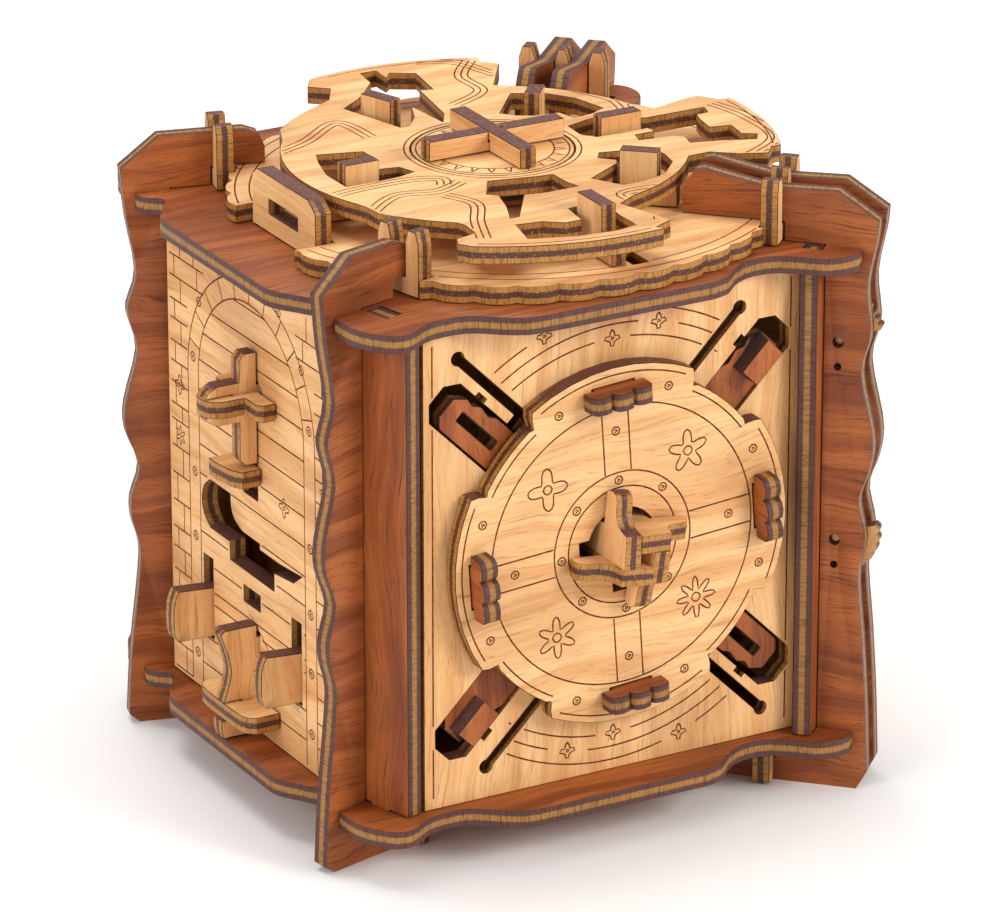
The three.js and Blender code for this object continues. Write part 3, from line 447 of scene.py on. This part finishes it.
# ---- engraving --------------------------------------------------------------------------------------
# The laser also draws on the boards' faces: thin burnt lines, a shade wider than a pencil's. Each drawing
# is a list of lines in millimetres, measured from the middle of its board.
LINE_HALF = 0.19
LINE_RISE = 0.035
LINE_STEP = 0.9
MARGIN = 0.5                     # lines stop this far from the edge of a board or a hole

burnt = Nodes("burnt_line")
burn_place = burnt.add("ShaderNodeTexCoord", out=3)
burn_spots = burnt.noise(burn_place, 900.0, 2.0)
burnt.put(burnt.shader.inputs["Base Color"],
          burnt.mix(burnt.smooth(burn_spots, 0.35, 0.65), linear(74, 34, 16), linear(120, 66, 34)))
burnt.shader.inputs["Roughness"].default_value = 0.8
burnt.shader.inputs["Specular IOR Level"].default_value = 0.15


def face_of(node, out):
    """The outermost flat face of a node towards `out`, as an array of triangles, and its level."""
    mesh = frame["nodes"][node].data
    mesh.calc_loop_triangles()
    corners = np.empty(len(mesh.vertices) * 3, dtype=np.float32)
    mesh.vertices.foreach_get("co", corners)
    corners = corners.reshape(-1, 3).astype(float)
    index = np.empty(len(mesh.loop_triangles) * 3, dtype=np.int32)
    mesh.loop_triangles.foreach_get("vertices", index)
    triangles = corners[index.reshape(-1, 3)]
    normals = np.cross(triangles[:, 1] - triangles[:, 0], triangles[:, 2] - triangles[:, 0])
    area = np.linalg.norm(normals, axis=1)
    flat = (normals @ out) > 0.999 * area
    triangles, area = triangles[flat], area[flat]
    levels, place = np.unique(np.round(triangles[:, 0] @ out / (0.05 * MM)), return_inverse=True)
    best = np.argmax(np.bincount(place, area))
    return triangles[place == best], float(levels[best] * 0.05 * MM)


def inside(points, triangles):
    """Which plane points lie in any of the triangles: those on the same side of all three of its edges."""
    sides = []
    for k in range(3):
        a, b = triangles[:, k], triangles[:, (k + 1) % 3]
        edge = b - a
        gap = points[:, None, :] - a[None]
        sides.append(edge[None, :, 0] * gap[..., 1] - edge[None, :, 1] * gap[..., 0])
    sides = np.stack(sides)
    return ((sides >= 0).all(axis=0) | (sides <= 0).all(axis=0)).any(axis=1)


def resampled(line, step):
    """The same line with its points about `step` apart, placed by distance along it."""
    line = np.asarray(line, dtype=float)
    reach = np.concatenate([[0.0], np.cumsum(np.linalg.norm(np.diff(line, axis=0), axis=1))])
    count = max(2, int(round(reach[-1] / step)) + 1)
    wanted = np.linspace(0, reach[-1], count)
    return np.column_stack([np.interp(wanted, reach, line[:, k]) for k in (0, 1)])


def engrave(node, lines, across, up, out, middle=None, turn=0.0):
    """Lays thin ridged lines on a board's outer face.

    A line's section is a flat diamond, carried along it: two points beside the line in the face, one a
    hair above the face and one a hair below. What falls outside the board or over a hole is left out.
    """
    across, up, out = (np.array(axis, dtype=float) for axis in (across, up, out))
    triangles, level = face_of(node, out)
    low, high = (np.array(corner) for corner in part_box(middle or node))
    origin = (low + high) / 2
    origin = origin + out * (level - origin @ out)
    flat = np.stack([(triangles - origin) @ across, (triangles - origin) @ up], axis=-1) / MM
    c, s = math.cos(math.radians(turn)), math.sin(math.radians(turn))
    rotate = np.array([[c, s], [-s, c]])
    rings, quads, start = [], [], 0
    flip = np.dot(np.cross(across, up), out) < 0
    for line in lines:
        points = resampled(line, LINE_STEP) @ rotate
        nearby = [points + MARGIN * np.array(shift) for shift in ((1, 0), (-1, 0), (0, 1), (0, -1))]
        kept = np.logical_and.reduce([inside(shifted, flat) for shifted in nearby])
        for run in np.split(np.arange(len(points)), np.flatnonzero(np.diff(kept.astype(int))) + 1):
            if not kept[run[0]] or len(run) < 2:
                continue
            path = points[run]
            tangent = np.gradient(path, axis=0)
            tangent /= np.linalg.norm(tangent, axis=1)[:, None]
            beside = LINE_HALF * np.column_stack([-tangent[:, 1], tangent[:, 0]])
            flat_section = np.stack([path + beside, path, path - beside, path], axis=1)
            rise = np.array([0.0, LINE_RISE, 0.0, -LINE_RISE])
            ring = origin + MM * (flat_section[..., :1] * across + flat_section[..., 1:] * up
                                  + rise[None, :, None] * out)
            count = len(path)
            k = start + 4 * np.arange(count - 1)[:, None]
            corner = np.arange(4)[None]
            after = (corner + 1) % 4
            body = np.stack([k + corner, k + after, k + after + 4, k + corner + 4], axis=-1).reshape(-1, 4)
            last = start + 4 * (count - 1)
            caps = np.array([[start + 3, start + 2, start + 1, start], [last, last + 1, last + 2, last + 3]])
            quads.append(np.vstack([body, caps]))
            rings.append(ring.reshape(-1, 3))
            start += 4 * count
    quads = np.vstack(quads)
    if flip:
        quads = quads[:, ::-1]
    mesh = bpy.data.meshes.new(f"{node}_engraving")
    mesh.from_pydata(np.vstack(rings).tolist(), [], quads.tolist())
    mesh.materials.append(burnt.material)
    place_piece(f"{node}_engraving", mesh, body_of[node])


def arc(radius, start=0.0, end=360.0, x=0.0, y=0.0):
    """Points round a circle between two angles in degrees."""
    steps = max(8, int(abs(end - start) / 360 * max(12, radius * 8)))
    turn = np.radians(np.linspace(start, end, steps + 1))
    return np.column_stack([x + radius * np.cos(turn), y + radius * np.sin(turn)])


def rosette(x, y, size, petals):
    """A flower line whose distance from its middle waves `petals` times round, with a ring at its heart."""
    turn = np.linspace(0, 2 * math.pi, 12 * petals + 1)
    reach = size * (0.68 + 0.32 * np.cos(petals * turn))
    flower = np.column_stack([x + reach * np.sin(turn), y + reach * np.cos(turn)])
    return [flower, arc(size * 0.22, x=x, y=y)]


def rivet(x, y, radius=1.0):
    """A small ring with a smaller one in it."""
    return [arc(radius, x=x, y=y), arc(radius * 0.45, x=x, y=y)]


def spoked(place, turn):
    """Points turned about the middle by so many degrees."""
    c, s = math.cos(math.radians(turn)), math.sin(math.radians(turn))
    return np.asarray(place, dtype=float) @ np.array([[c, s], [-s, c]])


# ---- engraving on the dial ----------------------------------------------------------------------------
# The disc's birch face is burnt with broken rim lines, two round bands and four double spokes, with
# small rivets and a flower in each quarter. The drawing turns with the disc.
dial_lines = [arc(39.8, quarter - 27, quarter + 27) for quarter in (0, 90, 180, 270)]
dial_lines += [arc(36.7, quarter + 32, quarter + 58) for quarter in (0, 90, 180, 270)]
dial_lines += [arc(32.5), arc(17.0), arc(13.5)]
for quarter in (0, 90, 180, 270):
    for side in (-3.25, 3.25):
        dial_lines.append(spoked([(17.0, side), (32.4, side)], quarter))
for quarter, petals in zip((0, 90, 180, 270), (5, 4, 6, 8)):
    for bearing, reach in ((-22, 36.5), (22, 36.5), (0, 26.8), (0, 15.2), (45, 15.2)):
        dial_lines += rivet(*spoked((reach, 0.0), quarter + bearing))
    x, y = spoked((24.8, 0.0), quarter + 45)
    dial_lines += rosette(x, y, 5.0, petals)
engrave("dial_disc", dial_lines, RIGHTWARD, UP, (0, -1, 0), turn=4)

# ---- engraving on the dial wall --------------------------------------------------------------------------
# The birch wall behind the dial is burnt before the box is put together: above and below the dial run
# three broken arcs that follow it, with a small flower in each break, and a plain line down each side.
wall_lines = []
for radius, breaks in ((46.4, (-5, 6)), (49.6, (-19, -7)), (52.8, (14, 24))):
    for middle_turn in (90, 270):
        wall_lines.append(arc(radius, middle_turn - 34, middle_turn + breaks[0]))
        wall_lines.append(arc(radius, middle_turn + breaks[1], middle_turn + 34))
        x, y = spoked((radius, 0.0), middle_turn + sum(breaks) / 2)
        wall_lines += rosette(x, y, 2.0, 4)
wall_lines += [[(x, -52.5), (x, 52.5)] for x in (-44.6, 44.6)]
engrave("wall_dial", wall_lines, RIGHTWARD, UP, (0, -1, 0))


# ---- engraving on the door wall ----------------------------------------------------------------------------
# The wall with the handle is burnt with a castle gate: planks under a double round arch with riveted
# posts, and rough stones to both sides. Heights are measured from the wall's middle.
def stones(left, right, courses, joint):
    """Rows of stones: a bed line under each course, and one upright joint that steps from row to row."""
    lines = []
    for k, (low, high) in enumerate(zip(courses[:-1], courses[1:])):
        lines.append([(left, low), (right, low)])
        x = left + (right - left) * (joint if k % 2 == 0 else 1 - joint)
        lines.append([(x, low), (x, high)])
    return lines


SPRING = 20.8                    # height at which the arch leaves the door posts
FOOT = -54                       # foot of the posts and of the lowest course of stones
POST = 27.7                      # the posts' middles are this far to either side
WALL_EDGE = 39.6                 # and the stones end here
PLANKS = (44.8, 37.8, 31.8, 25, 17.8, 11.8, 4.8, -2.2, -9.2, -16.2, -23.2, -29.2, -32.2, -41.2, -48.2)
ARCH_IN, ARCH_OUT = 25.2, 30.3
door_lines = []
for radius in (ARCH_IN, ARCH_OUT):
    door_lines.append([(-radius, FOOT), (-radius, SPRING), *arc(radius, 180, 0, y=SPRING), (radius, FOOT)])
for height in PLANKS:
    half = ARCH_IN if height < SPRING else math.sqrt(max(0.0, ARCH_IN ** 2 - (height - SPRING) ** 2))
    if half > 2:
        door_lines.append([(-half, height), (half, height)])
for turn in range(15, 180, 15):
    door_lines.append(np.array([[0, SPRING]]) + spoked([(ARCH_IN, 0.0), (ARCH_OUT, 0.0)], turn))
GATE_COURSES = (FOOT, -48, -42, -36, -30, -24.4, -19.6, -13, -6.4, 0.2, 6.6, 10.4, 15.6, 20.6, 25.4, 30.8,
                35.4, 41, 46, 51.6)
TOP_COURSES = GATE_COURSES[-3:]
door_lines += stones(ARCH_OUT, WALL_EDGE, GATE_COURSES, 0.34)
door_lines += stones(-WALL_EDGE, -ARCH_OUT, GATE_COURSES, 0.62)
spandrel = ARCH_OUT * 0.72
door_lines += stones(spandrel, ARCH_OUT, TOP_COURSES, 0.4) + stones(-ARCH_OUT, -spandrel, TOP_COURSES, 0.6)
arch_rivets = [(24.4, 38.7), (13.9, 48.7), (0, 52.0), (-13.9, 48.7), (-24.4, 38.7)]
right_rivets = [(POST, y) for y in (24.7, -2.8, -18.3, -46.8)]
left_rivets = [(-POST, y) for y in (25.7, -1.8, -17.3, -31.3, -45.8)]
for x, y in arch_rivets + right_rivets + left_rivets:
    door_lines += rivet(x, y, 1.1)
for x, y, petals in ((34.6, 15.6, 4), (34.6, 3.4, 6), (-34.6, 13.0, 5), (-15.5, 3.5, 4), (-34.6, -8.4, 6)):
    door_lines += rosette(x, y, 2.4, petals)
engrave("wall_door", door_lines, BACKWARD, UP, (-1, 0, 0))

# ---- engraving on the lid -----------------------------------------------------------------------------
# The three discs on top are burnt before they are stacked. The birch wheel carries broken rim lines and
# loose bundles of wavy lines between its slots, the hub a ring of small teeth, and the lid disc below
# them two fine rings near its rim.
WAVE = 1.5
bundles = (
    [(-47, -11), (-39, -9.6), (-27, -9.4), (-20, -12), (-21, -16)],
    [(-43, -24), (-37, -19), (-32, -17), (-24, -19), (-17, -16)],
    [(25, 56), (18, 47), (17, 36), (7, 30)],
    [(-44, 20), (-34, 24), (-22, 32), (-20, 20)],
    [(44, -33), (58, -24), (60, -8), (58, 3)],
    [(-30, -50), (-26, -40), (-21, -30), (-24, -22)],
    [(9, -58), (12, -50), (10, -40), (22, -40)],
    [(14, 61), (22, 56), (26, 44), (36, 30)],
    [(38, 6), (40, 16), (36, 26)],
)
wheel_lines = [arc(19.6)]
for bundle in bundles:
    for k in (-1, 0, 1):
        curve = rounded(bundle, 8)
        tangent = np.gradient(curve, axis=0)
        tangent /= np.linalg.norm(tangent, axis=1)[:, None]
        aside = np.column_stack([-tangent[:, 1], tangent[:, 0]])
        wheel_lines.append(curve + k * WAVE * aside)
for start, end in ((-26, 3), (66, 98), (238, 274)):
    wheel_lines.append(arc(62.0, start, end))
engrave("maze_wheel", wheel_lines, RIGHTWARD, BACKWARD, UP, middle="hub_disc")

HUB_BAND = 13.6
TEETH = 24
hub_lines = [arc(17.0), arc(HUB_BAND)]
for k in range(TEETH):
    hub_lines.append(spoked([(HUB_BAND, -0.8), (16.4, 0.0), (HUB_BAND, 0.8)], 360 * k / TEETH))
engrave("hub_disc", hub_lines, RIGHTWARD, BACKWARD, UP)
engrave("lid_disc", [arc(60.6), arc(57.4)], RIGHTWARD, BACKWARD, UP)

# ---- engraving on the right and rear walls ------------------------------------------------------------
# Two plain walls are burnt with even courses of stone inside a border, and the right one has a flower
# in a ring at its middle. The drawer's front, on the rear wall, has a double border.
BORDER_X, BORDER_Y = 43.0, 51.0
COURSE_COUNT = 12
COURSE = 8.5
STONE = 14.3
CLEAR = 27.0                     # radius of the ring that the right wall's stones stop at


def bordered(half_x, half_y):
    """A rectangle's outline about the middle."""
    corners = ((-1, -1), (1, -1), (1, 1), (-1, 1), (-1, -1))
    return [(half_x * x, half_y * y) for x, y in corners]


stone_lines = [bordered(BORDER_X, BORDER_Y)]
for k in range(COURSE_COUNT):
    low = -BORDER_Y + COURSE * k
    first = 7.2 if k % 2 else STONE
    stone_lines.append([(-BORDER_X, low), (BORDER_X, low)])
    for x in np.arange(-BORDER_X + first, BORDER_X, STONE):
        stone_lines.append([(x, low), (x, low + COURSE)])


def outside_ring(line, radius):
    """The parts of a line that lie beyond a circle about the middle, as separate lines."""
    points = resampled(line, LINE_STEP)
    kept = np.linalg.norm(points, axis=1) > radius
    runs = np.split(np.arange(len(points)), np.flatnonzero(np.diff(kept.astype(int))) + 1)
    return [points[run] for run in runs if kept[run[0]] and len(run) > 1]


side_lines = [part for line in stone_lines for part in outside_ring(line, CLEAR)]
side_lines += [arc(CLEAR), arc(CLEAR - 3), arc(9.0)]
side_lines += rosette(0, 0, 20.5, 8) + rosette(0, 0, 7.0, 6)
engrave("wall_right", side_lines, BACKWARD, UP, (1, 0, 0))
engrave("wall_rear", stone_lines, RIGHTWARD, UP, (0, 1, 0))
drawer_border = np.array(bordered(36, 20))
engrave("drawer_front", [drawer_border * share for share in (0.93, 0.87)], RIGHTWARD, UP, (0, 1, 0))
